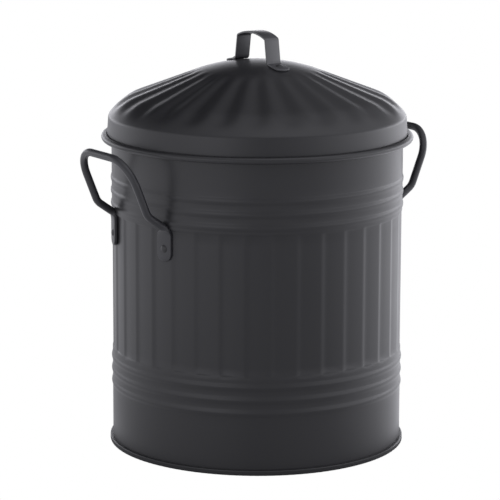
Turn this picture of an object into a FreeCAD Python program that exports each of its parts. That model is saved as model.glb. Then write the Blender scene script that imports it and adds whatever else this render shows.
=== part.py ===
import FreeCAD, Part
import math
import os
import Sketcher

# Mini trash can of pressed sheet steel with a lift-off lid.
# Millimetres, +Z up, origin on the floor at the bin's axis.
# The side handles lie on +X and -X, the lid's strap runs along Y.

doc = FreeCAD.newDocument("mini_trash_can")

# Driving dimensions: alias, value, meaning
TABLE = [
    ("sheet", 0.6, "steel sheet of wall, base and lid"),
    ("body_radius", 90.0, "outside of the plain wall"),
    ("body_height", 207.0, "floor to the top of the rolled rim"),
    ("rim_roll", 1.0, "outer radius of the rim's roll"),
    ("ridge_pitch", 8.0, "from one swaged ridge to the next"),
    ("ridge_width", 5.0, "foot of a ridge"),
    ("ridge_rise", 0.6, "how far a ridge stands out"),
    ("lower_ridge", 38.2, "floor to the lowest ridge"),
    ("upper_ridge_drop", 39.3, "rim top down to the highest ridge"),
    ("flute_count", 36, "flutes around the wall"),
    ("flute_depth", 0.45, "step of the saw-tooth flutes"),
    ("flute_flank", 1.9, "width of a flute's steep side"),
    ("flute_turn", 2.3, "first flute step, degrees from the front"),
    ("flute_low_gap", 5.8, "ridge below to the flutes' lower end"),
    ("flute_high_gap", 3.7, "flutes' upper end to the ridge above"),
    ("seam_height", 3.2, "height of the folded seam at the floor"),
    ("seam_gap", 0.2, "play between the seam's layers"),
    ("base_recess", 4.0, "floor to the underside of the base panel"),
    ("wire", 4.5, "diameter of the side handles' wire"),
    ("lug_spacing", 59.2, "between the two legs of a side handle"),
    ("lug_width", 10.4, "flattened end of the wire"),
    ("lug_sheet", 1.9, "thickness of the flattened end"),
    ("lug_drop", 71.2, "rim top down to the lug's rivet"),
    ("lug_above", 12.4, "rivet to the top of the lug"),
    ("lug_below", 8.1, "rivet to the rounded end of the lug"),
    ("lug_gap", 0.1, "lug to the wall"),
    ("kink_out", 11.9, "lug to the kink of the leg, outwards"),
    ("kink_up", 8.3, "lug to the kink of the leg, upwards"),
    ("kink_bend", 7.0, "bend at the kink, at the wire's middle"),
    ("bar_out", 25.9, "lug to the hand bar, outwards"),
    ("bar_up", 42.5, "lug to the hand bar, upwards"),
    ("bar_bend", 16.5, "bend from leg to hand bar"),
    ("leg_start", 5.0, "lug top to the full round of the wire"),
    ("rivet_shank", 1.2, "radius of a rivet's shank"),
    ("rivet_head", 2.5, "radius of a rivet's head"),
    ("rivet_crown", 1.0, "height of a rivet's head"),
    ("rivet_upset", 1.9, "radius of the closed end"),
    ("rivet_upset_height", 0.7, "height of the closed end"),
    ("rivet_play", 0.1, "rivet to its hole and to the metal inside"),
    ("lid_clearance", 0.5, "lid skirt to the rolled rim, sideways"),
    ("seat_gap", 0.3, "lid to the rolled rim, at the seat"),
    ("skirt_height", 13.1, "lid crease down to the rolled edge"),
    ("skirt_flare", 0.9, "how far the skirt widens downwards"),
    ("lid_roll", 2.05, "outer radius of the lid's rolled edge"),
    ("lid_roll_gap", 0.15, "end of the roll to the skirt"),
    ("dome_rise", 34.0, "lid crease up to the top of the cap"),
    ("cap_radius", 38.0, "plain cap in the middle of the lid"),
    ("cap_drop", 6.2, "top of the cap down to its edge"),
    ("shoulder_inset", 16.5, "lid crease in to the cone"),
    ("shoulder_rise", 13.4, "lid crease up to the cone"),
    ("groove_count", 26, "flutes around the lid"),
    ("groove_depth", 1.3, "depth of the lid's flutes"),
    ("groove_turn", 7.9, "first lid flute, degrees from the front"),
    ("groove_inset", 5.0, "lid crease in to the flutes' outer ends"),
    ("strap_width", 10.2, "lid strap"),
    ("strap_sheet", 1.2, "thickness of the strap"),
    ("strap_top_span", 31.6, "between the outsides of the legs, above"),
    ("strap_foot_span", 36.2, "between the outsides of the legs, below"),
    ("strap_height", 17.4, "cap to the top corners of the strap"),
    ("strap_arch", 3.2, "rise of the strap's grip"),
    ("strap_rivet", 24.0, "axis to a strap rivet"),
    ("strap_reach", 30.5, "axis to the end of a strap foot"),
    ("strap_bend", 1.3, "inner bend of the strap"),
    ("strap_gap", 0.1, "strap foot to the cap"),
    ("overrun", 3.0, "how far cuts run past the metal"),
]

# Lid flutes: stations from the cap to the crease, how deep each is, how wide against the spacing
GROOVE_PLACE_SHARES = (0.0, 0.16, 0.45, 0.75, 0.91, 1.0)
GROOVE_DEPTH_SHARES = (0.05, 0.75, 1.0, 1.0, 0.7, 0.05)
GROOVE_WIDTH_SHARE = 0.8
BULGE_MARGIN_SHARE = 0.5
TOE_ROUND_SHARE = 0.9
LUG_ROOT_SHARE = 0.97
# Two points closer than this count as one
NEARNESS = 0.001

sheet = doc.addObject("Spreadsheet::Sheet", "sizes")
for row, (alias, number, meaning) in enumerate(TABLE, start=1):
    sheet.set("A%d" % row, alias)
    sheet.set("B%d" % row, str(number))
    sheet.set("C%d" % row, meaning)
    sheet.setAlias("B%d" % row, alias)
doc.recompute()


class Size:
    """A number together with the expression that gives it from the sheet."""

    def __init__(self, value, text):
        self.value = float(value)
        self.text = text

    def __add__(self, other):
        other = as_size(other)
        return Size(self.value + other.value, "(%s + %s)" % (self.text, other.text))

    def __sub__(self, other):
        other = as_size(other)
        return Size(self.value - other.value, "(%s - %s)" % (self.text, other.text))

    def __mul__(self, other):
        other = as_size(other)
        return Size(self.value * other.value, "(%s * %s)" % (self.text, other.text))

    def __truediv__(self, other):
        other = as_size(other)
        return Size(self.value / other.value, "(%s / %s)" % (self.text, other.text))

    def __neg__(self):
        return Size(-self.value, "(0 - %s)" % self.text)


def as_size(item):
    return item if isinstance(item, Size) else Size(item, repr(item))


def sine(angle):
    return Size(math.sin(math.radians(angle.value)), "sin(%s)" % angle.text)


def cosine(angle):
    return Size(math.cos(math.radians(angle.value)), "cos(%s)" % angle.text)


def tangent(angle):
    return Size(math.tan(math.radians(angle.value)), "tan(%s)" % angle.text)


def slope_angle(rise, run):
    text = "(atan(%s / %s) / 1 deg)" % (rise.text, run.text)
    return Size(math.degrees(math.atan(rise.value / run.value)), text)


def arc_sine(share):
    return Size(math.degrees(math.asin(share.value)), "(asin(%s) / 1 deg)" % share.text)


def root(square):
    return Size(math.sqrt(square.value), "sqrt(%s)" % square.text)


def cell(alias):
    return Size(sheet.get(alias), "sizes." + alias)


ZERO = Size(0, "0")
size = {alias: cell(alias) for alias, number, meaning in TABLE}

# Places worked out from the driving dimensions
metal = size["sheet"]
wall = size["body_radius"]
wall_inside = wall - metal
lower_ridges = [size["lower_ridge"] + size["ridge_pitch"] * i for i in range(3)]
top_ridge = size["body_height"] - size["upper_ridge_drop"]
upper_ridges = [top_ridge - size["ridge_pitch"] * i for i in (2, 1, 0)]
flute_bottom = lower_ridges[2] + size["flute_low_gap"]
flute_top = upper_ridges[0] - size["flute_high_gap"]
flute_floor = wall - size["flute_depth"]
rim_middle = size["body_height"] - size["rim_roll"]
rim_roll_axis = wall_inside + size["rim_roll"]
rim_outside = rim_roll_axis + size["rim_roll"]

lug_height = size["body_height"] - size["lug_drop"]
lug_middle = wall + size["lug_gap"] + size["lug_sheet"] / 2
lug_face = wall + size["lug_gap"] + size["lug_sheet"]
lug_angle = arc_sine(size["lug_spacing"] / 2 / lug_middle)
hole_radius = size["rivet_shank"] + size["rivet_play"]

crease_radius = rim_outside + size["lid_clearance"] + metal
cone_outer = crease_radius - size["shoulder_inset"]
cone_drop = size["dome_rise"] - size["cap_drop"] - size["shoulder_rise"]
cone_angle = slope_angle(cone_drop, cone_outer - size["cap_radius"])
shoulder_chord = slope_angle(size["shoulder_rise"], size["shoulder_inset"])
shoulder_angle = shoulder_chord * 2 - cone_angle
shoulder_length = size["shoulder_rise"] / sine(shoulder_chord)
shoulder_radius = shoulder_length / sine(shoulder_chord - cone_angle) / 2
seat_depth = metal + size["seat_gap"] + size["rim_roll"]
seat_run = (crease_radius - rim_roll_axis) * sine(shoulder_angle)
crease_height = rim_middle + (seat_depth - seat_run) / cosine(shoulder_angle)
cone_height = crease_height + size["shoulder_rise"]
lid_top = crease_height + size["dome_rise"]
cap_edge = lid_top - size["cap_drop"]
cap_square = size["cap_radius"] * size["cap_radius"] + size["cap_drop"] * size["cap_drop"]
cap_bend = cap_square / size["cap_drop"] / 2
strap_tilt = arc_sine(size["strap_rivet"] / cap_bend)
strap_seat = lid_top - cap_bend + cap_bend * cosine(strap_tilt)


def origin_part(body, role):
    return [item for item in body.Origin.OriginFeatures if item.Role == role][0]


def new_body(label):
    body = doc.addObject("PartDesign::Body", label)
    body.Label = label
    return body


def new_sketch(body, name, plane, base=(ZERO, ZERO, ZERO), turn_axis=(0, 1, 0), turn=ZERO):
    sketch = body.newObject("Sketcher::SketchObject", name)
    sketch.AttachmentSupport = [(origin_part(body, plane), "")]
    sketch.MapMode = "FlatFace"
    spin = FreeCAD.Rotation(FreeCAD.Vector(*turn_axis), turn.value)
    sketch.AttachmentOffset = FreeCAD.Placement(FreeCAD.Vector(*[item.value for item in base]), spin)
    for axis, item in zip("xyz", base):
        sketch.setExpression("AttachmentOffset.Base." + axis, item.text)
    sketch.setExpression("AttachmentOffset.Rotation.Angle", turn.text)
    return sketch


def bind(sketch, constraint, amount):
    number = sketch.addConstraint(constraint)
    sketch.setExpression("Constraints[%d]" % number, amount.text)


def pin_point(sketch, edge, end, x, y):
    if x.value == 0:
        sketch.addConstraint(Sketcher.Constraint("PointOnObject", edge, end, -2))
    else:
        bind(sketch, Sketcher.Constraint("DistanceX", -1, 1, edge, end, x.value), x)
    if y.value == 0:
        sketch.addConstraint(Sketcher.Constraint("PointOnObject", edge, end, -1))
    else:
        bind(sketch, Sketcher.Constraint("DistanceY", -1, 1, edge, end, y.value), y)


def arc_between(start, end, radius, left):
    half = (end - start) * 0.5
    height = math.sqrt(max(radius * radius - half.Length * half.Length, 0))
    across = FreeCAD.Vector(-half.y, half.x, 0).normalize()
    middle = start + half + across * (height if left else -height)
    first, last = (start, end) if left else (end, start)
    angles = [math.atan2(p.y - middle.y, p.x - middle.x) for p in (first, last)]
    return Part.ArcOfCircle(Part.Circle(middle, FreeCAD.Vector(0, 0, 1), radius), angles[0], angles[1])


def draw_outline(sketch, corners):
    """Closed outline. A corner is (x, y), or (x, y, radius, left) where an arc leads to the next corner."""
    places = [FreeCAD.Vector(corner[0].value, corner[1].value, 0) for corner in corners]
    ends = []
    for index, corner in enumerate(corners):
        start, end = places[index], places[(index + 1) % len(places)]
        if len(corner) == 2:
            sketch.addGeometry(Part.LineSegment(start, end))
            ends.append((1, 2))
        else:
            sketch.addGeometry(arc_between(start, end, corner[2].value, corner[3]))
            ends.append((1, 2) if corner[3] else (2, 1))
    for index, corner in enumerate(corners):
        before = index - 1 if index else len(corners) - 1
        joint = Sketcher.Constraint("Coincident", before, ends[before][1], index, ends[index][0])
        sketch.addConstraint(joint)
    for index, corner in enumerate(corners):
        pin_point(sketch, index, ends[index][0], corner[0], corner[1])
        if len(corner) == 4:
            bind(sketch, Sketcher.Constraint("Radius", index, corner[2].value), corner[2])


def draw_circle(sketch, x, y, radius):
    place = FreeCAD.Vector(x.value, y.value, 0)
    sketch.addGeometry(Part.Circle(place, FreeCAD.Vector(0, 0, 1), radius.value))
    pin_point(sketch, 0, 3, x, y)
    bind(sketch, Sketcher.Constraint("Radius", 0, radius.value), radius)


def revolve(body, name, corners):
    sketch = new_sketch(body, name + "_outline", "XZ_Plane")
    draw_outline(sketch, corners)
    feature = body.newObject("PartDesign::Revolution", name)
    feature.Profile = sketch
    feature.ReferenceAxis = (sketch, ["V_Axis"])
    feature.Angle = 360
    doc.recompute()
    return feature


def cut_hole(body, name, plane, base, turn_axis, turn, radius):
    """Round hole through everything on both sides of a turned plane."""
    sketch = new_sketch(body, name + "_outline", plane, base, turn_axis, turn)
    draw_circle(sketch, ZERO, ZERO, radius)
    before = body.Shape.Volume
    feature = body.newObject("PartDesign::Pocket", name)
    feature.Profile = sketch
    feature.Type = "ThroughAll"
    feature.Midplane = True
    doc.recompute()
    if body.Shape.Volume >= before:
        raise RuntimeError(name + " cuts nothing")
    return feature


def polar(body, name, originals, count):
    pattern = body.newObject("PartDesign::PolarPattern", name)
    pattern.Originals = originals
    pattern.Axis = (origin_part(body, "Z_Axis"), [""])
    pattern.Angle = 360
    pattern.Occurrences = int(count.value)
    pattern.setExpression("Occurrences", count.text)
    body.Tip = pattern
    doc.recompute()
    return pattern


def on_circle(middle_x, middle_y, radius, turn):
    angle = as_size(turn)
    return middle_x + radius * cosine(angle), middle_y + radius * sine(angle)


def ridge_bend():
    half = size["ridge_width"] / 2
    return (half * half + size["ridge_rise"] * size["ridge_rise"]) / size["ridge_rise"] / 2


def ridges_up(radius, middles):
    """Wall line with swaged ridges, from below to above."""
    half = size["ridge_width"] / 2
    corners = []
    for middle in middles:
        corners.append((radius, middle - half, ridge_bend(), True))
        corners.append((radius, middle + half))
    return corners


def ridges_down(radius, middles):
    half = size["ridge_width"] / 2
    corners = []
    for middle in reversed(middles):
        corners.append((radius, middle + half, ridge_bend(), False))
        corners.append((radius, middle - half))
    return corners


def make_body_shell():
    body = new_body("body_shell")
    # One flute: a steep flank, then a panel that rises slowly to the next flank
    step = Size(360, "360") / size["flute_count"]
    flank = size["flute_flank"] / wall * (180 / math.pi)
    first = size["flute_turn"] - 90
    angles = [first, first + step - flank, first + step]
    outside = [flute_floor, wall, flute_floor]
    points = [(radius * cosine(angle), radius * sine(angle)) for radius, angle in zip(outside, angles)]
    inner = [radius - metal for radius in outside]
    inner_points = [(radius * cosine(angle), radius * sine(angle)) for radius, angle in zip(inner, angles)]
    sketch = new_sketch(body, "flute_outline", "XY_Plane", (ZERO, ZERO, flute_bottom))
    draw_outline(sketch, [
        points[0] + (wall, True),
        points[1],
        points[2],
        inner_points[2],
        inner_points[1] + (wall_inside, False),
        inner_points[0],
    ])
    panel = body.newObject("PartDesign::Pad", "flute_panel")
    panel.Profile = sketch
    panel.Length = (flute_top - flute_bottom).value
    panel.setExpression("Length", (flute_top - flute_bottom).text)
    doc.recompute()
    polar(body, "flutes", [panel], size["flute_count"])
    # Lower wall with its ridges and the hook of the floor seam
    lap = flute_floor - metal
    gap = size["seam_gap"]
    hook = wall + gap * 2 + metal * 2
    hook_top = size["seam_height"] - metal - gap
    lower = [(lap, flute_bottom), (lap, flute_bottom - metal)]
    lower.append((wall_inside, flute_bottom - metal - size["flute_depth"]))
    lower += ridges_down(wall_inside, lower_ridges)
    lower += [(wall_inside, metal), (hook, metal), (hook, hook_top), (hook - metal, hook_top)]
    lower += [(hook - metal, metal * 2), (wall, metal * 2)]
    lower += ridges_up(wall, lower_ridges)
    lower.append((wall, flute_bottom))
    revolve(body, "lower_wall", lower)
    # Upper wall with its ridges and the rolled rim
    roll = size["rim_roll"]
    bore = roll - metal
    upper = [(wall, flute_top)]
    upper += ridges_up(wall, upper_ridges)
    upper.append((wall, rim_middle, bore, False))
    upper += [on_circle(rim_roll_axis, rim_middle, bore, turn) + (bore, False) for turn in (90, 0)]
    upper.append((rim_roll_axis, rim_middle - bore))
    upper.append((rim_roll_axis, rim_middle - roll, roll, True))
    upper += [on_circle(rim_roll_axis, rim_middle, roll, turn) + (roll, True) for turn in (0, 90)]
    upper.append((wall_inside, rim_middle))
    upper += ridges_down(wall_inside, upper_ridges)
    upper.append((wall_inside, flute_top + metal + size["flute_depth"]))
    upper += [(lap, flute_top + metal), (lap, flute_top)]
    revolve(body, "upper_wall", upper)
    # Rivet holes, each cut taking one lug of both handles
    for name, turn in (("front_holes", lug_angle), ("rear_holes", -lug_angle)):
        cut_hole(body, name, "YZ_Plane", (ZERO, lug_height, ZERO), (0, 1, 0), turn, hole_radius)
    return body


def make_base_pan():
    body = new_body("base_pan")
    gap = size["seam_gap"]
    top = size["seam_height"]
    lip = wall + metal * 3 + gap * 3
    inside = wall_inside - gap
    recess = size["base_recess"]
    revolve(body, "pan", [
        (ZERO, recess),
        (inside - metal, recess),
        (inside - metal, ZERO),
        (lip - metal, ZERO, metal, True),
        (lip, metal),
        (lip, top - metal, metal, True),
        (lip - metal, top),
        (wall + gap, top),
        (wall + gap, metal * 2 + gap),
        (wall + gap + metal, metal * 2 + gap),
        (wall + gap + metal, top - metal),
        (lip - metal, top - metal),
        (lip - metal, metal),
        (inside, metal),
        (inside, recess + metal),
        (ZERO, recess + metal),
    ])
    return body


def groove_station(radius):
    """Height of the lid's plain outside at a radius on the cone or the shoulder."""
    if radius.value <= cone_outer.value:
        return cone_height + (cone_outer - radius) * tangent(cone_angle)
    middle_radius = cone_outer - shoulder_radius * sine(cone_angle)
    middle_height = cone_height - shoulder_radius * cosine(cone_angle)
    offset = radius - middle_radius
    return middle_height + root(shoulder_radius * shoulder_radius - offset * offset)


def bulge_radius(half, rise):
    return (half * half + rise * rise) / rise / 2


def add_grooves(body):
    """Flutes pressed into the lid: metal bulges inwards below, then the outside is hollowed."""
    reach = crease_radius - size["groove_inset"] - size["cap_radius"]
    half_step = Size(180, "180") / size["groove_count"]
    turn = size["groove_turn"] - 90
    upright = metal / cosine(cone_angle)
    bulges = []
    hollows = []
    for number, place_share in enumerate(GROOVE_PLACE_SHARES):
        depth_share = GROOVE_DEPTH_SHARES[number]
        radius = size["cap_radius"] + reach * place_share
        surface = groove_station(radius)
        half = radius * tangent(half_step) * GROOVE_WIDTH_SHARE
        depth = size["groove_depth"] * depth_share
        base = (radius * sine(turn), ZERO, radius * cosine(turn))
        wide = half + metal * BULGE_MARGIN_SHARE
        chord = surface - upright / 2
        bulge = new_sketch(body, "bulge_%d" % number, "YZ_Plane", base, (0, 1, 0), turn)
        draw_outline(bulge, [(-wide, chord, bulge_radius(wide, depth + upright / 2), True), (wide, chord)])
        hollow = new_sketch(body, "hollow_%d" % number, "YZ_Plane", base, (0, 1, 0), turn)
        draw_outline(hollow, [
            (-half, surface, bulge_radius(half, depth), True),
            (half, surface),
            (half, surface + size["overrun"]),
            (-half, surface + size["overrun"]),
        ])
        bulges.append(bulge)
        hollows.append(hollow)
    doc.recompute()
    for name, kind, sections in (("bulge", "AdditiveLoft", bulges), ("hollow", "SubtractiveLoft", hollows)):
        before = body.Shape.Volume
        loft = body.newObject("PartDesign::" + kind, name)
        loft.Profile = sections[0]
        loft.Sections = sections[1:]
        loft.Ruled = False
        doc.recompute()
        if abs(body.Shape.Volume - before) < 1e-6:
            raise RuntimeError(name + " changes nothing")
        polar(body, name + "s", [loft], size["groove_count"])


def strap_place(side, above):
    """Point above the cap along a strap rivet's axis, as Y and Z."""
    along = size["strap_rivet"] + above * sine(strap_tilt)
    return along * side, strap_seat + above * cosine(strap_tilt)


def cut_strap_holes(body):
    for name, side in (("front_hole", -1), ("rear_hole", 1)):
        place = strap_place(side, ZERO)
        tilt = strap_tilt * -side
        cut_hole(body, name, "XY_Plane", (ZERO,) + place, (1, 0, 0), tilt, hole_radius)


def make_lid_shell():
    body = new_body("lid_shell")
    skirt = crease_radius + size["skirt_flare"]
    roll = size["lid_roll"]
    bore = roll - metal
    roll_axis = skirt - metal + roll
    roll_height = crease_height - size["skirt_height"]
    end_turn = arc_sine((bore - size["lid_roll_gap"]) / roll) + 90
    under = (metal * sine(cone_angle), metal * cosine(cone_angle))
    cap_in = (size["cap_radius"] - under[0], cap_edge - under[1])
    cap_in_drop = lid_top - metal - cap_in[1]
    crease_under = metal * (as_size(1) - sine(shoulder_angle)) / cosine(shoulder_angle)
    outline = [(ZERO, lid_top - metal, bulge_radius(cap_in[0], cap_in_drop), False), cap_in]
    outline.append((cone_outer - under[0], cone_height - under[1], shoulder_radius - metal, False))
    outline.append((crease_radius - metal, crease_height - crease_under))
    outline.append((skirt - metal, roll_height, roll, True))
    outline += [on_circle(roll_axis, roll_height, roll, turn) + (roll, True) for turn in (270, 0, 90)]
    outline.append(on_circle(roll_axis, roll_height, roll, end_turn))
    outline.append(on_circle(roll_axis, roll_height, bore, end_turn) + (bore, False))
    outline += [on_circle(roll_axis, roll_height, bore, turn) + (bore, False) for turn in (90, 0, 270)]
    outline.append((skirt, roll_height))
    outline.append((crease_radius, crease_height, shoulder_radius, True))
    outline.append((cone_outer, cone_height))
    outline.append((size["cap_radius"], cap_edge, cap_bend, True))
    outline.append((ZERO, lid_top))
    revolve(body, "dome", outline)
    add_grooves(body)
    cut_strap_holes(body)
    return body


def round_edges(body, name, places, radius):
    """Fillet on the edges whose two ends both lie at one of the places given."""
    names = []
    for number, edge in enumerate(body.Shape.Edges, start=1):
        ends = [vertex.Point for vertex in edge.Vertexes]
        if len(ends) == 2 and any(all(test(point) for point in ends) for test in places):
            names.append("Edge%d" % number)
    if not names:
        raise RuntimeError(name + " finds no edge")
    base = body.Tip
    feature = body.newObject("PartDesign::Fillet", name)
    feature.Base = (base, names)
    feature.Radius = radius.value
    feature.setExpression("Radius", radius.text)
    doc.recompute()
    return feature


def both_sides(corner):
    """Tests for points on the line parallel to X at a corner of the strap, in front and behind."""
    return [near_line(corner[0].value * side, corner[1].value) for side in (1, -1)]


def near_line(along, up):
    return lambda point: math.hypot(point.y - along, point.z - up) < NEARNESS


def near_corner(across, along):
    """Test for points above and below one corner of a strap foot."""
    return lambda point: abs(point.x - across.value) < NEARNESS and abs(point.y) > along.value


def make_lid_handle():
    body = new_body("lid_handle")
    thick = size["strap_sheet"]
    sole = strap_place(1, size["strap_gap"])

    def sole_height(along):
        return sole[1] - (along - sole[0]) * tangent(strap_tilt)

    foot = size["strap_foot_span"] / 2
    top = size["strap_top_span"] / 2
    top_height = strap_seat + size["strap_height"]
    arch = bulge_radius(top, size["strap_arch"])
    inner_arch = arch - thick
    arch_middle = top_height + size["strap_arch"] - arch
    inner_top = top - thick
    inner_height = arch_middle + root(inner_arch * inner_arch - inner_top * inner_top)
    leg_sole = (foot - thick, sole_height(foot - thick))
    toe = (size["strap_reach"], sole_height(size["strap_reach"]))
    toe_top = (toe[0] + thick * sine(strap_tilt), toe[1] + thick * cosine(strap_tilt))
    leg_foot = (foot, sole_height(foot) + thick / cosine(strap_tilt))
    leg_top = (top, top_height)
    grip = (inner_top, inner_height)
    right = [leg_sole, toe, toe_top, leg_foot, leg_top + (arch, True)]
    left = [(-corner[0],) + corner[1:2] for corner in (leg_top, leg_foot, toe_top, toe, leg_sole)]
    left.append((-grip[0], grip[1], inner_arch, False))
    sketch = new_sketch(body, "strap_outline", "YZ_Plane")
    draw_outline(sketch, right + left + [grip])
    strap = body.newObject("PartDesign::Pad", "strap")
    strap.Profile = sketch
    strap.Midplane = True
    strap.Length = size["strap_width"].value
    strap.setExpression("Length", size["strap_width"].text)
    doc.recompute()
    half = size["strap_width"] / 2
    toes = [near_corner(side, (foot + toe[0]) / 2) for side in (half, -half)]
    round_edges(body, "toes", toes, half * TOE_ROUND_SHARE)
    sharp = both_sides(leg_foot) + both_sides(grip)
    round_edges(body, "inner_bends", sharp, size["strap_bend"])
    blunt = both_sides(leg_sole) + both_sides(leg_top)
    round_edges(body, "outer_bends", blunt, size["strap_bend"] + thick)
    cut_strap_holes(body)
    return body


def make_rivet(label, grip, place, direction):
    """Rivet whose domed head sits at the place given, with its shank pointing the other way."""
    body = new_body(label)
    shank = size["rivet_shank"]
    head = size["rivet_head"]
    crown = size["rivet_crown"]
    upset = size["rivet_upset"]
    end = grip + size["rivet_upset_height"]
    revolve(body, label + "_turned", [
        (ZERO, crown),
        (ZERO, -end),
        (upset, -end),
        (upset, -grip),
        (shank, -grip),
        (shank, ZERO),
        (head, ZERO, bulge_radius(head, crown), True),
    ])
    turn = FreeCAD.Rotation(FreeCAD.Vector(0, 0, 1), direction)
    body.Placement = FreeCAD.Placement(place, turn)
    return body


def bent_wire_path(points, bends):
    """Lines through the points with an arc of the given radius at each inner point."""
    edges = []
    start = points[0]
    for before, corner, after, bend in zip(points, points[1:], points[2:], bends):
        inward = (before - corner).normalize()
        outward = (after - corner).normalize()
        half = inward.getAngle(outward) / 2
        setback = bend / math.tan(half)
        middle = (inward + outward).normalize() * (bend / math.sin(half))
        nearest = middle * (1 - math.sin(half))
        arc_start = corner + inward * setback
        arc_end = corner + outward * setback
        edges.append(Part.LineSegment(start, arc_start).toShape())
        edges.append(Part.Arc(arc_start, corner + nearest, arc_end).toShape())
        start = arc_end
    edges.append(Part.LineSegment(start, points[-1]).toShape())
    return Part.Wire(edges)


def flat_section(middle, across, through, half_width, half_thickness):
    """Flat section with round ends, as a wire of two lines and two arcs."""
    straight = half_width - half_thickness
    signs = ((-1, -1), (1, -1), (1, 1), (-1, 1))
    corners = [middle + across * (straight * i) + through * (half_thickness * j) for i, j in signs]
    tips = [middle + across * (half_width * i) for i in (1, -1)]
    return Part.Wire([
        Part.LineSegment(corners[0], corners[1]).toShape(),
        Part.Arc(corners[1], tips[0], corners[2]).toShape(),
        Part.LineSegment(corners[2], corners[3]).toShape(),
        Part.Arc(corners[3], tips[1], corners[0]).toShape(),
    ])


def round_section(middle, across, through, radius):
    """Round section as a wire of four arcs, which match the edges of a flat section."""
    turns = [math.radians(degrees) for degrees in (225, 270, 315, 360, 45, 90, 135, 180, 225)]
    spots = []
    for turn in turns:
        spots.append(middle + across * (radius * math.cos(turn)) + through * (radius * math.sin(turn)))
    arcs = [Part.Arc(spots[i], spots[i + 1], spots[i + 2]).toShape() for i in (0, 2, 4, 6)]
    return Part.Wire(arcs)


def make_handle(label, turn):
    """Side handle of one bent wire whose ends are hammered flat and pierced."""
    mm = {alias: item.value for alias, item in size.items()}
    angle = math.radians(lug_angle.value)
    half_spacing = mm["lug_spacing"] / 2
    root_x = lug_middle.value * math.cos(angle)
    lug_top = lug_height.value + mm["lug_above"]
    lug_end = lug_height.value - mm["lug_below"]
    wire_radius = mm["wire"] / 2
    up = FreeCAD.Vector(0, 0, 1)

    def leg_points(side):
        lug = FreeCAD.Vector(root_x, half_spacing * side, lug_top)
        kink = lug + FreeCAD.Vector(mm["kink_out"], 0, mm["kink_up"])
        bar = lug + FreeCAD.Vector(mm["bar_out"], 0, mm["bar_up"])
        return lug, kink, bar

    near, far = leg_points(-1), leg_points(1)
    rise = (near[1] - near[0]).normalize()
    ends = [lug[0] + rise * mm["leg_start"] for lug in (near, far)]
    points = [ends[0], near[1], near[2], far[2], far[1], ends[1]]
    path = bent_wire_path(points, [mm["kink_bend"], mm["bar_bend"], mm["bar_bend"], mm["kink_bend"]])
    pieces = []
    holes = []
    for side, end in zip((-1, 1), ends):
        outward = FreeCAD.Vector(math.cos(angle), math.sin(angle) * side, 0)
        across = up.cross(outward)
        middle = outward * lug_middle.value
        foot = middle + up * (lug_top - mm["lug_sheet"])
        level = (across - rise * across.dot(rise)).normalize()
        half_width = mm["lug_width"] / 2
        half_thickness = mm["lug_sheet"] / 2
        root_width = half_width * LUG_ROOT_SHARE
        lower = flat_section(foot, across, outward, root_width, half_thickness * LUG_ROOT_SHARE)
        upper = round_section(end, level, level.cross(rise), wire_radius)
        pieces.append(Part.makeLoft([lower, upper], True, True))
        if side == -1:
            pieces.append(path.makePipeShell([upper], True, False))
        back = outward * (wall.value + mm["lug_gap"])
        shoulder = lug_end + half_width
        spots = ((-1, lug_top), (1, lug_top), (1, shoulder), (-1, shoulder))
        corners = [back + across * (half_width * i) + up * height for i, height in spots]
        tip = back + up * lug_end
        outline = Part.Wire([
            Part.LineSegment(corners[0], corners[1]).toShape(),
            Part.LineSegment(corners[1], corners[2]).toShape(),
            Part.Arc(corners[2], tip, corners[3]).toShape(),
            Part.LineSegment(corners[3], corners[0]).toShape(),
        ])
        pieces.append(Part.Face(outline).extrude(outward * mm["lug_sheet"]))
        start = back + up * lug_height.value - outward * mm["overrun"]
        length = mm["lug_sheet"] + mm["overrun"] * 2
        holes.append(Part.makeCylinder(hole_radius.value, length, start, outward))
    shape = pieces[0].fuse(pieces[1:]).removeSplitter().cut(holes)
    handle = doc.addObject("Part::Feature", label)
    handle.Label = label
    handle.Shape = shape.Solids[0]
    handle.Placement = FreeCAD.Placement(FreeCAD.Vector(), FreeCAD.Rotation(up, turn))
    return handle


parts = [make_body_shell(), make_base_pan(), make_lid_shell(), make_lid_handle()]
parts += [make_handle("right_handle", 0), make_handle("left_handle", 180)]

wall_grip = size["lug_gap"] + size["lug_sheet"] + size["flute_depth"] + metal + size["rivet_play"]
for label, turn in (
    ("right_rear_rivet", lug_angle.value),
    ("left_rear_rivet", 180 - lug_angle.value),
    ("left_front_rivet", 180 + lug_angle.value),
    ("right_front_rivet", -lug_angle.value),
):
    outward = FreeCAD.Vector(math.cos(math.radians(turn)), math.sin(math.radians(turn)), 0)
    seat = outward * lug_face.value + FreeCAD.Vector(0, 0, lug_height.value)
    parts.append(make_rivet(label, wall_grip, seat, outward))

lid_grip = size["strap_sheet"] + size["strap_gap"] + metal + size["rivet_play"]
for label, side in (("lid_front_rivet", -1), ("lid_rear_rivet", 1)):
    seat = strap_place(side, size["strap_gap"] + size["strap_sheet"])
    tilt = math.radians(strap_tilt.value)
    upward = FreeCAD.Vector(0, math.sin(tilt) * side, math.cos(tilt))
    parts.append(make_rivet(label, lid_grip, FreeCAD.Vector(0, seat[0].value, seat[1].value), upward))

doc.recompute()
for item in doc.Objects:
    if "Invalid" in item.State or "Error" in item.State:
        raise RuntimeError("%s failed: %s" % (item.Label, item.State))
for part in parts:
    if part.Shape.isNull() or not part.Shape.isValid() or len(part.Shape.Solids) != 1:
        raise RuntimeError("%s is not one valid solid" % part.Label)

os.makedirs("parts", exist_ok=True)
for part in parts:
    box = part.Shape.optimalBoundingBox(False)
    lowest = (box.XMin, box.YMin, box.ZMin)
    highest = (box.XMax, box.YMax, box.ZMax)
    print(part.Label, "%.2f %.2f %.2f to %.2f %.2f %.2f" % (lowest + highest))
    part.Shape.exportStep("parts/%s.step" % part.Label)
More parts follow.
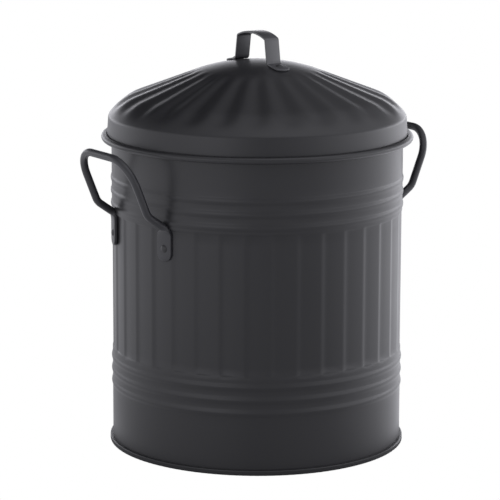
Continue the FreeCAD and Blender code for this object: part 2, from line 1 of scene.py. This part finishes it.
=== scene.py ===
import math
import bpy
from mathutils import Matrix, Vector


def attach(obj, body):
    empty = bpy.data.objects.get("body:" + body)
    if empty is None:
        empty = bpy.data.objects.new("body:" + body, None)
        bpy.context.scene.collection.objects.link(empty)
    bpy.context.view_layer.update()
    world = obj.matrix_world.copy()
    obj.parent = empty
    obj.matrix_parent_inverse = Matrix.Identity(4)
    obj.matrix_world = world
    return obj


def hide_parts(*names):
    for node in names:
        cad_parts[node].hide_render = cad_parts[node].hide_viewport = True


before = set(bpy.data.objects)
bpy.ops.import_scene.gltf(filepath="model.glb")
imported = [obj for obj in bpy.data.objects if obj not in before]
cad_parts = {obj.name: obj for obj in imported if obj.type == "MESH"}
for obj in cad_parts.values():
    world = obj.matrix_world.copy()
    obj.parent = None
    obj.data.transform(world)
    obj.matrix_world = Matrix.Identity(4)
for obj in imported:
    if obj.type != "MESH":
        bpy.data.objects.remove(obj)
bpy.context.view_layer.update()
mm = 0.001
mergeGap = 0.005 * mm  # points closer than this become one
print("frame loaded")


# small helpers
def toLinear(hexColour):
    channels = [int(hexColour[i:i + 2], 16) / 255 for i in (1, 3, 5)]
    return tuple(c / 12.92 if c <= 0.04045 else ((c + 0.055) / 1.055) ** 2.4 for c in channels) + (1.0,)


def addNode(tree, kind, settings=None, links=None):
    node = tree.nodes.new(kind)
    for key, value in (settings or {}).items():
        if isinstance(key, int) or key in node.inputs:
            node.inputs[key].default_value = value
        else:
            setattr(node, key, value)
    for key, source in (links or {}).items():
        tree.links.new(source, node.inputs[key])
    return node


def freshSelection():
    if bpy.context.object and bpy.context.object.mode != "OBJECT":
        bpy.ops.object.mode_set(mode="OBJECT")
    bpy.ops.object.select_all(action="DESELECT")


def selectOnly(piece):
    freshSelection()
    piece.select_set(True)
    bpy.context.view_layer.objects.active = piece


def nameNewest(name):
    piece = bpy.context.object
    piece.name = name
    piece.data.name = name
    return piece


def drawLine(name, points):
    # a vertex pulled along the points, as an edge chain in the XZ plane, left in edit mode
    freshSelection()
    bpy.ops.mesh.primitive_plane_add(size=mm)
    piece = nameNewest(name)
    bpy.ops.object.mode_set(mode="EDIT")
    bpy.ops.mesh.select_all(action="SELECT")
    bpy.ops.mesh.merge(type="CENTER")
    spots = [Vector((r * mm, 0, z * mm)) for r, z in points]
    bpy.ops.transform.translate(value=spots[0])
    for here, there in zip(spots, spots[1:]):
        bpy.ops.mesh.extrude_region_move(TRANSFORM_OT_translate={"value": there - here})
    return piece


def closeMesh():
    # in edit mode: merges what lies together and turns the faces outwards
    bpy.ops.mesh.select_all(action="SELECT")
    bpy.ops.mesh.remove_doubles(threshold=mergeGap)
    bpy.ops.mesh.normals_make_consistent(inside=False)
    bpy.ops.object.mode_set(mode="OBJECT")


def spinLine(steps):
    # in edit mode: turns the drawn line round the bin's axis
    bpy.ops.mesh.select_all(action="SELECT")
    bpy.ops.mesh.spin(steps=steps, angle=2 * math.pi, center=(0, 0, 0), axis=(0, 0, 1))
    closeMesh()


def applyModifier(piece, kind, **settings):
    selectOnly(piece)
    modifier = piece.modifiers.new(kind.title(), kind)
    for key, value in settings.items():
        setattr(modifier, key, value)
    bpy.ops.object.modifier_apply(modifier=modifier.name)


def thickenSheet(piece, sheet):
    # the drawn face is the outer one
    applyModifier(piece, "SOLIDIFY", thickness=sheet * mm, offset=-1.0, use_even_offset=True)


def finishPiece(piece, material, body, node, smoothAngle):
    selectOnly(piece)
    bpy.ops.object.shade_smooth_by_angle(angle=math.radians(smoothAngle))
    piece.data.materials.clear()
    piece.data.materials.append(material)
    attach(piece, body)
    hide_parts(node)
    print(piece.name, len(piece.data.polygons), "faces")


def arcPoints(middle, radius, start, end, steps):
    turns = [math.radians(start + (end - start) * i / steps) for i in range(steps + 1)]
    return [(middle[0] + radius * math.cos(a), middle[1] + radius * math.sin(a)) for a in turns]


def hubUnder(point, bend, fall):
    # middle of an arc that passes the point while it falls by this many degrees
    return (point[0] - bend * math.sin(math.radians(fall)), point[1] - bend * math.cos(math.radians(fall)))


def archBend(halfSpan, rise):
    # radius of an arch
    return (halfSpan ** 2 + rise ** 2) / (2 * rise)


def archHeight(hub, bend, across):
    return hub + math.sqrt(bend ** 2 - across ** 2)


def frontAngle(vertex):
    # degrees round the bin from the front, towards +X
    return math.degrees(math.atan2(vertex.co.x, -vertex.co.y)) % 360


def ease(value):
    value = min(max(value, 0.0), 1.0)
    return value * value * (3 - 2 * value)


def flatSection(halfWidth, halfThickness, edge, steps=6):
    # outline of a flat bar with round edges, which is a round wire where all three sizes are equal
    points = []
    for corner in range(4):
        sideways = math.copysign(halfWidth - edge, math.cos(math.radians(90 * corner + 45)))
        upwards = math.copysign(halfThickness - edge, math.sin(math.radians(90 * corner + 45)))
        for i in range(steps):
            turn = math.radians(90 * (corner + (i + 0.5) / steps))
            points.append((sideways + edge * math.cos(turn), upwards + edge * math.sin(turn)))
    return points


def bentPath(points, bends, spacing, fewestSteps=4):
    # lines with an arc at each inner point, as evenly spaced places, twice as close in the arcs
    path = [points[0]]
    for before, corner, after, bend in zip(points, points[1:], points[2:], bends):
        inward = (before - corner).normalized()
        outward = (after - corner).normalized()
        half = inward.angle(outward) / 2
        setback = bend / math.tan(half)
        hub = corner + (inward + outward).normalized() * (bend / math.sin(half))
        first = corner + inward * setback
        last = corner + outward * setback
        run = first - path[-1]
        count = max(1, round(run.length / spacing))
        path += [path[-1] + run * (i / count) for i in range(1, count)]
        steps = max(fewestSteps, round(2 * bend * (math.pi - 2 * half) / spacing))
        arms = (first - hub).normalized(), (last - hub).normalized()
        path += [hub + arms[0].slerp(arms[1], i / steps) * bend for i in range(steps + 1)]
    run = points[-1] - path[-1]
    count = max(1, round(run.length / spacing))
    return path + [path[-1] + run * (i / count) for i in range(1, count + 1)]


def sweepPiece(name, stations):
    # a grid rolled up along the stations, its seam and its pinched ends merged
    freshSelection()
    columns = len(stations[0][-1])
    rows = len(stations) - 1
    bpy.ops.mesh.primitive_grid_add(x_subdivisions=columns, y_subdivisions=rows, size=1)
    piece = nameNewest(name)
    for vertex in piece.data.vertices:
        column = round((vertex.co.x + 0.5) * columns) % columns
        place, across, outward, section = stations[round((vertex.co.y + 0.5) * rows)]
        sideways, upwards = section[column]
        vertex.co = (place + across * sideways + outward * upwards) * mm
    bpy.ops.object.mode_set(mode="EDIT")
    closeMesh()
    return piece


# Powder coat: polyester powder baked on steel. It gives the eye an even charcoal with a soft satin sheen
# and a very fine orange peel.
coatLook = {
    "colour": "#242426",
    "wireColour": "#2f2f32",
    "strapColour": "#3b3b3e",
    "roughness": 0.34,
    "ior": 1.5,
    "gloss": 0.5,
    "strapGloss": 1.0,  # the strap throws back twice as much light
    "peelSize": 1.6,  # mm, drawn coarser than the real 0.5 mm so that it shows at all
    "peelHeight": 0.012,  # mm
    "peelDetail": 1.0,
    "patchSize": 35.0,  # mm, slow change of the sheen over the sheet
    "patchShare": 0.04,
    "patchDetail": 2.0,
}


def makePowderCoat(name, colour, gloss, look):
    coat = bpy.data.materials.new(name)
    coat.use_nodes = True
    tree = coat.node_tree
    shader = tree.nodes["Principled BSDF"]
    shader.inputs["Base Color"].default_value = toLinear(colour)
    shader.inputs["IOR"].default_value = look["ior"]
    shader.inputs["Specular IOR Level"].default_value = gloss
    place = addNode(tree, "ShaderNodeTexCoord").outputs["Object"]
    peel = addNode(
        tree,
        "ShaderNodeTexNoise",
        {"Scale": 1 / (look["peelSize"] * mm), "Detail": look["peelDetail"]},
        {"Vector": place},
    )
    bump = addNode(
        tree,
        "ShaderNodeBump",
        {"Strength": 1.0, "Distance": look["peelHeight"] * mm},
        {"Height": peel.outputs["Fac"]},
    )
    tree.links.new(bump.outputs["Normal"], shader.inputs["Normal"])
    patch = addNode(
        tree,
        "ShaderNodeTexNoise",
        {"Scale": 1 / (look["patchSize"] * mm), "Detail": look["patchDetail"]},
        {"Vector": place},
    )
    sheen = addNode(
        tree,
        "ShaderNodeMapRange",
        {"To Min": look["roughness"] - look["patchShare"], "To Max": look["roughness"] + look["patchShare"]},
        {"Value": patch.outputs["Fac"]},
    )
    tree.links.new(sheen.outputs["Result"], shader.inputs["Roughness"])
    return coat


powderCoat = makePowderCoat("charcoalPowderCoat", coatLook["colour"], coatLook["gloss"], coatLook)
wireCoat = makePowderCoat("wirePowderCoat", coatLook["wireColour"], coatLook["gloss"], coatLook)
strapCoat = makePowderCoat("strapPowderCoat", coatLook["strapColour"], coatLook["strapGloss"], coatLook)
print("materials made")

# the wall, sizes in mm
wall = {
    "radius": 90.0,
    "sheet": 0.6,
    "foot": 1.3,
    "rim": 206.0,
    "rimBore": 0.4,
    "rimSteps": 9,
    "ridges": (38.2, 46.2, 54.2, 151.7, 159.7, 167.7),
    "ridgeWidth": 5.6,
    "ridgeRise": 0.6,
    "ridgeSteps": 5,  # from its crest to either side
    "fluteLow": 60.0,
    "fluteHigh": 148.0,
    "fluteEnd": 1.4,
    "fluteCount": 36,
    "fluteSink": 0.3,  # the whole band of flutes lies this much below the plain wall
    "fluteDepth": 0.45,
    "fluteTurn": 1.6,
    # where the columns of one flute stand, and how deep each lies
    "columnShares": (0.0, 0.05, 0.1, 0.15, 0.2, 0.26, 0.34, 0.44, 0.54, 0.64, 0.74, 0.84, 0.92, 0.97),
    "depthShares": (0.03, 0.18, 0.5, 0.8, 0.95, 1.0, 0.94, 0.8, 0.66, 0.52, 0.38, 0.23, 0.11, 0.04),
    # heights of the other rows of points
    "plainRows": (8, 16, 24, 31, 58, 66, 80, 95, 110, 125, 140, 175, 185, 196, 204),
    "smoothAngle": 40,
}


def wallLine(size):
    low, high, end = size["fluteLow"], size["fluteHigh"], size["fluteEnd"]
    heights = [size["foot"], *size["plainRows"]]
    heights += [low, low + end / 2, low + end, high - end, high - end / 2, high]
    points = [(size["radius"], z) for z in heights]
    for ridge in size["ridges"]:
        for i in range(-size["ridgeSteps"], size["ridgeSteps"] + 1):
            share = i / size["ridgeSteps"]
            rise = size["ridgeRise"] * math.cos(share * math.pi / 2) ** 2
            points.append((size["radius"] + rise, ridge + share * size["ridgeWidth"] / 2))
    points.sort(key=lambda point: point[1])
    bore = size["rimBore"]
    return points + arcPoints((size["radius"] + bore, size["rim"]), bore, 180, -90, size["rimSteps"])


def pressFlutes(piece, size):
    columns = len(size["columnShares"])
    step = 360 / size["fluteCount"]
    for vertex in piece.data.vertices:
        number = round(frontAngle(vertex) / step * columns)
        flute, column = divmod(number, columns)
        angle = math.radians((flute + size["columnShares"][column]) * step + size["fluteTurn"])
        radius = math.hypot(vertex.co.x, vertex.co.y)
        z = vertex.co.z / mm
        inside = min(z - size["fluteLow"], size["fluteHigh"] - z) / size["fluteEnd"]
        depth = size["fluteSink"] + size["fluteDepth"] * size["depthShares"][column]
        radius -= ease(inside) * depth * mm
        vertex.co.x = radius * math.sin(angle)
        vertex.co.y = -radius * math.cos(angle)


bodyWall = drawLine("bodyWall", wallLine(wall))
spinLine(wall["fluteCount"] * len(wall["columnShares"]))
pressFlutes(bodyWall, wall)
thickenSheet(bodyWall, wall["sheet"])
finishPiece(bodyWall, powderCoat, "bin", "body_shell", wall["smoothAngle"])

# the lid, sizes in mm
lid = {
    "sheet": 0.6,
    "top": 240.24,
    "capRadius": 38.0,
    "capDrop": 6.2,
    "capSteps": 10,
    "coneRadius": 76.0,
    "coneHeight": 219.64,
    "coneSteps": 9,
    "coneSlope": 21.0,  # degrees
    "shoulderSteps": 12,
    "shoulderCurl": 2.2,  # degrees steeper for each mm beyond the cone
    "creaseRadius": 92.5,
    "creaseHeight": 206.24,
    "creaseBend": 4.0,
    "creaseSteps": 5,
    "skirtMiddle": (93.0, 199.0),
    "skirtRadius": 93.4,
    "skirtEnd": 1.2,  # above the middle of the roll
    "rollHeight": 193.14,
    "rollBore": 1.45,
    "rollEnd": 129.4,
    "rollSteps": 20,
    "grooveCount": 26,
    "grooveColumns": 16,
    "grooveDepth": 0.95,  # where the cone ends, less towards the cap
    "grooveTurn": 7.9,
    "grooveStart": 37.0,
    "grooveTip": 4.0,
    "grooveEnd": 91.6,
    "grooveTail": 9.0,
    "grooveFloor": 0.5,  # above the crease, where the grooves stop
    # the crest between two grooves stands at this share of the way, at the cap and at the shoulder
    "crestShares": (0.5, 0.46),
    "smoothAngle": 40,
}


def lidLine(size):
    capBend = archBend(size["capRadius"], size["capDrop"])
    capTurn = math.degrees(math.asin(size["capRadius"] / capBend))
    points = arcPoints((0, size["top"] - capBend), capBend, 90, 90 - capTurn, size["capSteps"])
    edge = points[-1]
    cone = (size["coneRadius"], size["coneHeight"])
    steps = size["coneSteps"]
    points += [
        (edge[0] + (cone[0] - edge[0]) * i / steps, edge[1] + (cone[1] - edge[1]) * i / steps)
        for i in range(1, steps + 1)
    ]
    coneTurn = math.degrees(math.atan2(edge[1] - cone[1], cone[0] - edge[0]))
    run, fall = size["creaseRadius"] - cone[0], cone[1] - size["creaseHeight"]
    chordTurn = math.degrees(math.atan2(fall, run))
    endTurn = 2 * chordTurn - coneTurn
    bend = math.hypot(run, fall) / 2 / math.sin(math.radians(chordTurn - coneTurn))
    middle = hubUnder(cone, bend, coneTurn)
    shoulder = arcPoints(middle, bend, 90 - coneTurn, 90 - endTurn, size["shoulderSteps"])
    # round the crease between the shoulder and the skirt
    crease = shoulder.pop()
    run, fall = size["skirtRadius"] - size["creaseRadius"], size["creaseHeight"] - size["rollHeight"]
    skirtTurn = math.degrees(math.atan2(fall, run))
    setback = size["creaseBend"] * math.tan(math.radians(skirtTurn - endTurn) / 2)
    above = (
        crease[0] - setback * math.cos(math.radians(endTurn)),
        crease[1] + setback * math.sin(math.radians(endTurn)),
    )
    hub = hubUnder(above, size["creaseBend"], endTurn)
    points += shoulder[1:]
    points += arcPoints(hub, size["creaseBend"], 90 - endTurn, 90 - skirtTurn, size["creaseSteps"])
    points += [size["skirtMiddle"], (size["skirtRadius"], size["rollHeight"] + size["skirtEnd"])]
    bore = size["rollBore"]
    roll = (size["skirtRadius"] + bore, size["rollHeight"])
    return points + arcPoints(roll, bore, 180, 360 + size["rollEnd"], size["rollSteps"])


def pressGrooves(piece, size):
    start, end = size["grooveStart"], size["grooveEnd"]
    lowest = size["creaseHeight"] + size["grooveFloor"]
    atCap, atShoulder = size["crestShares"]
    for vertex in piece.data.vertices:
        radius = math.hypot(vertex.co.x, vertex.co.y) / mm
        if vertex.co.z / mm < lowest or radius < start:
            continue
        turn = (frontAngle(vertex) - size["grooveTurn"]) / 360 * size["grooveCount"] % 1
        crest = atCap + (atShoulder - atCap) * ((radius - start) / (end - start))
        climb = turn / crest if turn < crest else (1 - turn) / (1 - crest)
        valley = 1 - ease(climb)
        tip = ease((radius - start) / size["grooveTip"])
        tail = ease((end - radius) / size["grooveTail"])
        depth = size["grooveDepth"] * radius / size["coneRadius"] * valley * tip * tail * mm
        beyondCone = max(radius - size["coneRadius"], 0.0)
        slope = math.radians(size["coneSlope"] + beyondCone * size["shoulderCurl"])
        vertex.co.z -= depth * math.cos(slope)
        vertex.co.x -= depth * math.sin(slope) * vertex.co.x / radius / mm
        vertex.co.y -= depth * math.sin(slope) * vertex.co.y / radius / mm


lidDome = drawLine("lidDome", lidLine(lid))
spinLine(lid["grooveCount"] * lid["grooveColumns"])
pressGrooves(lidDome, lid)
thickenSheet(lidDome, lid["sheet"])
finishPiece(lidDome, powderCoat, "lid", "lid_shell", lid["smoothAngle"])

# the side handles: one bent wire each, its ends hammered flat, sizes in mm
handle = {
    "wire": 4.75,
    "legApart": 59.2,
    "lugMiddle": 91.05,  # bin's axis to the middle of the flat end
    "lugEnd": 127.7,
    "lugTop": 148.2,
    "lugWidth": 10.4,
    "lugSheet": 1.9,
    "lugEdge": 0.35,
    "lugBend": 4.0,
    "flatEnds": 16.0,  # along the wire, all flat up to here
    "roundStarts": 23.0,  # and all round from here
    "kink": (11.9, 8.3),  # from the lug's top, outwards and upwards
    "kinkBend": 9.0,
    "bar": (25.9, 42.5),
    "barBend": 18.0,
    "spacing": 1.5,
    "smoothAngle": 60,
}


def handleStations(size):
    half = size["legApart"] / 2
    root = math.sqrt(size["lugMiddle"] ** 2 - half ** 2)
    side = [(root, size["lugEnd"]), (root, size["lugTop"])]
    side += [(root + out, size["lugTop"] + up) for out, up in (size["kink"], size["bar"])]
    corners = [Vector((x, -half, z)) for x, z in side] + [Vector((x, half, z)) for x, z in reversed(side)]
    bends = [size["lugBend"], size["kinkBend"], size["barBend"]]
    path = bentPath(corners, bends + bends[::-1], size["spacing"])
    travelled = [0.0]
    for here, there in zip(path, path[1:]):
        travelled.append(travelled[-1] + (there - here).length)
    radius = size["wire"] / 2
    stations = []
    for number, place in enumerate(path):
        ahead = (path[min(number + 1, len(path) - 1)] - path[max(number - 1, 0)]).normalized()
        fromEnd = min(travelled[number], travelled[-1] - travelled[number])
        turnRound = ease((fromEnd - size["flatEnds"]) / (size["roundStarts"] - size["flatEnds"]))
        offWall = Vector((root, math.copysign(half, place.y), 0)).normalized()
        faces = offWall.lerp(Vector((1, 0, 0)), turnRound)
        outward = (faces - ahead * ahead.dot(faces)).normalized()
        flat = size["lugWidth"] / 2
        if fromEnd < flat:
            flat = math.sqrt(max(flat ** 2 - (flat - fromEnd) ** 2, 0.0))
        lugSizes = (flat, size["lugSheet"] / 2, min(size["lugEdge"], flat))
        section = flatSection(*[start + (radius - start) * turnRound for start in lugSizes])
        stations.append((place, outward.cross(ahead), outward, section))
    return stations


rightHandle = sweepPiece("rightHandle", handleStations(handle))
bpy.ops.object.duplicate()
leftHandle = nameNewest("leftHandle")
bpy.ops.object.mode_set(mode="EDIT")
bpy.ops.mesh.select_all(action="SELECT")
bpy.ops.transform.rotate(value=math.pi, orient_axis="Z", center_override=(0, 0, 0))
finishPiece(rightHandle, wireCoat, "bin", "right_handle", handle["smoothAngle"])
finishPiece(leftHandle, wireCoat, "bin", "left_handle", handle["smoothAngle"])

# the lid's strap: flat bar bent to a hat shape, sizes in mm
strap = {
    "width": 10.2,
    "sheet": 1.2,
    "gap": 0.1,
    "reach": 30.5,
    "footSpan": 36.2,
    "topSpan": 31.6,
    "cornerHeight": 255.21,
    "arch": 3.2,
    "gripSteps": 8,
    "footBend": 1.8,
    "cornerBend": 1.9,
    "endRound": 4.2,  # corner radius of the feet
    "spacing": 0.8,
    "edge": 0.3,
    "edgeSteps": 3,
    "edgeAngle": 50,  # degrees, only sharper edges are rounded
    "smoothAngle": 40,
}


def strapLine(size, cap):
    # half of the strap's upper face, from the middle of the grip to the foot's end
    capBend = archBend(cap["capRadius"], cap["capDrop"])
    hub = cap["top"] - capBend
    seat = capBend + size["gap"] + size["sheet"]
    grip = size["topSpan"] / 2
    gripBend = archBend(grip, size["arch"])
    gripHub = size["cornerHeight"] + size["arch"] - gripBend
    steps = size["gripSteps"]
    points = [(grip * i / steps, archHeight(gripHub, gripBend, grip * i / steps)) for i in range(steps + 1)]
    foot, reach = size["footSpan"] / 2, size["reach"]
    corners = [points[-3], points[-1]] + [(x, archHeight(hub, seat, x)) for x in (foot, reach)]
    bends = [size["cornerBend"], size["footBend"]]
    bent = bentPath([Vector((x, 0, z)) for x, z in corners], bends, size["spacing"])
    points = points[:-3] + [(spot.x, spot.z) for spot in bent]
    # the foot follows the cap
    return [(x, archHeight(hub, seat, x) if x > foot + size["footBend"] else z) for x, z in points]


strapHalf = strapLine(strap, lid)
lidStrap = drawLine("lidStrap", [(-x, z) for x, z in reversed(strapHalf)] + strapHalf[1:])
bpy.ops.mesh.select_all(action="SELECT")
bpy.ops.transform.rotate(value=math.pi / 2, orient_axis="Z", center_override=(0, 0, 0))
bpy.ops.transform.translate(value=(-strap["width"] / 2 * mm, 0, 0))
bpy.ops.mesh.extrude_region_move(TRANSFORM_OT_translate={"value": (strap["width"] * mm, 0, 0)})
closeMesh()
for vertex in lidStrap.data.vertices:
    over = abs(vertex.co.y) / mm - strap["reach"] + strap["endRound"]
    if over > 0:
        narrowed = strap["endRound"] - math.sqrt(max(strap["endRound"] ** 2 - over ** 2, 0.0))
        vertex.co.x -= math.copysign(narrowed * mm, vertex.co.x)
thickenSheet(lidStrap, strap["sheet"])
applyModifier(
    lidStrap,
    "BEVEL",
    width=strap["edge"] * mm,
    segments=strap["edgeSteps"],
    limit_method="ANGLE",
    angle_limit=math.radians(strap["edgeAngle"]),
)
finishPiece(lidStrap, strapCoat, "lid", "lid_handle", strap["smoothAngle"])

# the base pan and the rivets stay as the frame has them, in the same coat
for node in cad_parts.values():
    for holder in node.material_slots:
        holder.material = powderCoat
    if not node.material_slots:
        node.data.materials.append(powderCoat)
print("frame's own pieces coated")

# the studio: a white tent and table, brightest on the right and low behind, dark behind higher up
tableLight = (0.77, 0.62, 0.7, 0.57, 0.4, 0.49, 1.11, 1.33)
studio = {
    "floorSize": 8.0,  # metres
    "floorDrop": 0.2,  # mm below the bin's foot
    "brightest": 3.6,  # the panels' light is set as a share of this
    "blueShare": 1.06,  # the light is a little cool
    # height in degrees of a ring of panels, and the panels' light from behind the bin,
    # by its left, the front and its right
    "rings": (
        (4, (2.6, 2.3, 1.54, 0.62, 0.79, 1.37, 0.27, 0.65, 1.43, 2.13, 3.34, 2.7)),
        (13, (0.9, 1.1, 1.28, 1.07, 1.23, 1.38, 0.61, 0.71, 1.09, 1.24, 1.29, 0.65)),
        (22, (0.0, 0.0, 0.4, 0.64, 0.83, 0.82, 0.31, 0.36, 0.67, 0.84, 0.83, 0.12)),
        (38, (0.0, 0.0, 0.08, 0.28, 0.37, 0.43, 0.42, 0.66, 0.99, 1.12, 0.93, 0.45)),
        (60, (0.32, 0.0, 0.45, 0.84, 1.04, 1.18, 1.04, 0.45)),
        (88, (0.73,)),
    ),
    # metres from the bin's axis, and the table's light there; it is dim close to the bin's foot, a painted
    # shadow of the bin on the table
    "tableRings": (
        # painted shadow: the table's glow is kept low right by the bin's foot, where the bin would shade it
        (0.093, (0.2,)),
        (0.112, tableLight),
        (0.2, tableLight),
        (0.6, (0.7, 0.75, 1.06, 0.87, 0.57, 0.54, 1.21, 1.69)),
    ),
}


def roundTheBin(tree, direction, cameraAzimuth):
    # 0 to 1 from straight behind the bin, by its left, the front and its right; and the height
    turned = addNode(
        tree,
        "ShaderNodeVectorRotate",
        {"rotation_type": "Z_AXIS", "Angle": -math.radians(cameraAzimuth)},
        {"Vector": direction},
    )
    split = addNode(tree, "ShaderNodeSeparateXYZ", None, {"Vector": turned.outputs["Vector"]})
    near = addNode(tree, "ShaderNodeMath", {"operation": "MULTIPLY", 1: -1.0}, {0: split.outputs["Y"]})
    angle = addNode(
        tree,
        "ShaderNodeMath",
        {"operation": "ARCTAN2"},
        {0: split.outputs["X"], 1: near.outputs["Value"]},
    )
    share = addNode(
        tree,
        "ShaderNodeMapRange",
        {"From Min": -math.pi, "From Max": math.pi},
        {"Value": angle.outputs["Value"]},
    )
    return share.outputs["Result"], split.outputs["Z"]


def panelRing(tree, levels, azimuth, light):
    ring = addNode(tree, "ShaderNodeValToRGB", None, {"Fac": azimuth})
    stops = ring.color_ramp.elements
    while len(stops) < len(levels) + 1:
        stops.new(1.0)
    for number, stop in enumerate(stops):
        share = levels[number % len(levels)] / light["brightest"]
        stop.position = number / len(levels)
        stop.color = (share, share, share * light["blueShare"], 1)
    return ring.outputs["Color"]


def blendRings(tree, rings, azimuth, value, light):
    # from ring to ring as the value grows
    colours = [panelRing(tree, levels, azimuth, light) for place, levels in rings]
    places = [place for place, levels in rings]
    lit = colours[0]
    for colour, start, end in zip(colours[1:], places, places[1:]):
        share = addNode(tree, "ShaderNodeMapRange", {"From Min": start, "From Max": end}, {"Value": value})
        # of the node's sockets, 6 and 7 are its two colours and output 2 is the mixed one
        links = {0: share.outputs["Result"], 6: lit, 7: colour}
        lit = addNode(tree, "ShaderNodeMix", {"data_type": "RGBA"}, links).outputs[2]
    return lit


def burnOut(tree, kind, lit, strength):
    # it lights the bin with its own levels, and the camera sees it burnt out to white, as in the photo
    glow = addNode(tree, kind, {"Strength": strength}, {"Color": lit})
    white = addNode(tree, kind, {"Color": (1, 1, 1, 1), "Strength": 1.0})
    seen = addNode(tree, "ShaderNodeLightPath").outputs["Is Camera Ray"]
    mix = addNode(tree, "ShaderNodeMixShader", None, {0: seen, 1: glow.outputs[0], 2: white.outputs[0]})
    return mix.outputs["Shader"]


def makeFloor(light, cameraAzimuth):
    freshSelection()
    bpy.ops.mesh.primitive_plane_add(size=light["floorSize"], location=(0, 0, -light["floorDrop"] * mm))
    floor = bpy.context.object
    floor.name = "studioFloor"
    paint = bpy.data.materials.new("whiteTable")
    paint.use_nodes = True
    tree = paint.node_tree
    tree.nodes.clear()
    place = addNode(tree, "ShaderNodeTexCoord").outputs["Object"]
    azimuth = roundTheBin(tree, place, cameraAzimuth)[0]
    away = addNode(tree, "ShaderNodeVectorMath", {"operation": "LENGTH"}, {0: place}).outputs["Value"]
    lit = blendRings(tree, light["tableRings"], azimuth, away, light)
    surface = burnOut(tree, "ShaderNodeEmission", lit, light["brightest"])
    addNode(tree, "ShaderNodeOutputMaterial", None, {"Surface": surface})
    floor.data.materials.append(paint)


def makeSky(light, cameraAzimuth):
    world = bpy.data.worlds.new("studioLight")
    bpy.context.scene.world = world
    world.use_nodes = True
    tree = world.node_tree
    tree.nodes.clear()
    direction = addNode(tree, "ShaderNodeTexCoord").outputs["Generated"]
    azimuth, rise = roundTheBin(tree, direction, cameraAzimuth)
    height = addNode(tree, "ShaderNodeMath", {"operation": "ARCSINE"}, {0: rise}).outputs["Value"]
    rings = [(math.radians(degrees), levels) for degrees, levels in light["rings"]]
    lit = blendRings(tree, rings, azimuth, height, light)
    surface = burnOut(tree, "ShaderNodeBackground", lit, light["brightest"])
    addNode(tree, "ShaderNodeOutputWorld", None, {"Surface": surface})


# the camera stands in front and to the left of the bin
shot = {
    "azimuth": -33.65,
    "elevation": 11.65,
    "distance": 1.7276,  # metres, and so is the target
    "target": (0.0, 0.0, 0.12025),
    "aside": 4.3,  # mm, it aims this far to the left of the target
    "roll": 0.186,
    "lens": 198.4,
    "sensor": 36.0,
    "farthest": 50.0,
}


def makeCamera(view):
    azimuth, elevation = math.radians(view["azimuth"]), math.radians(view["elevation"])
    level = math.cos(elevation)
    back = Vector((math.sin(azimuth) * level, -math.cos(azimuth) * level, math.sin(elevation)))
    right = Vector((math.cos(azimuth), math.sin(azimuth), 0))
    freshSelection()
    bpy.ops.object.camera_add(location=Vector(view["target"]) + back * view["distance"])
    camera = bpy.context.object
    aim = Vector(view["target"]) - right * view["aside"] * mm - camera.location
    camera.rotation_euler = aim.to_track_quat("-Z", "Y").to_euler()
    camera.rotation_euler.rotate_axis("Z", math.radians(view["roll"]))
    camera.data.sensor_width = view["sensor"]
    camera.data.lens = view["lens"]
    camera.data.clip_end = view["farthest"]
    bpy.context.scene.camera = camera


makeFloor(studio, shot["azimuth"])
makeCamera(shot)
makeSky(studio, shot["azimuth"])
bpy.context.scene.view_settings.view_transform = "Standard"
print("studio set")
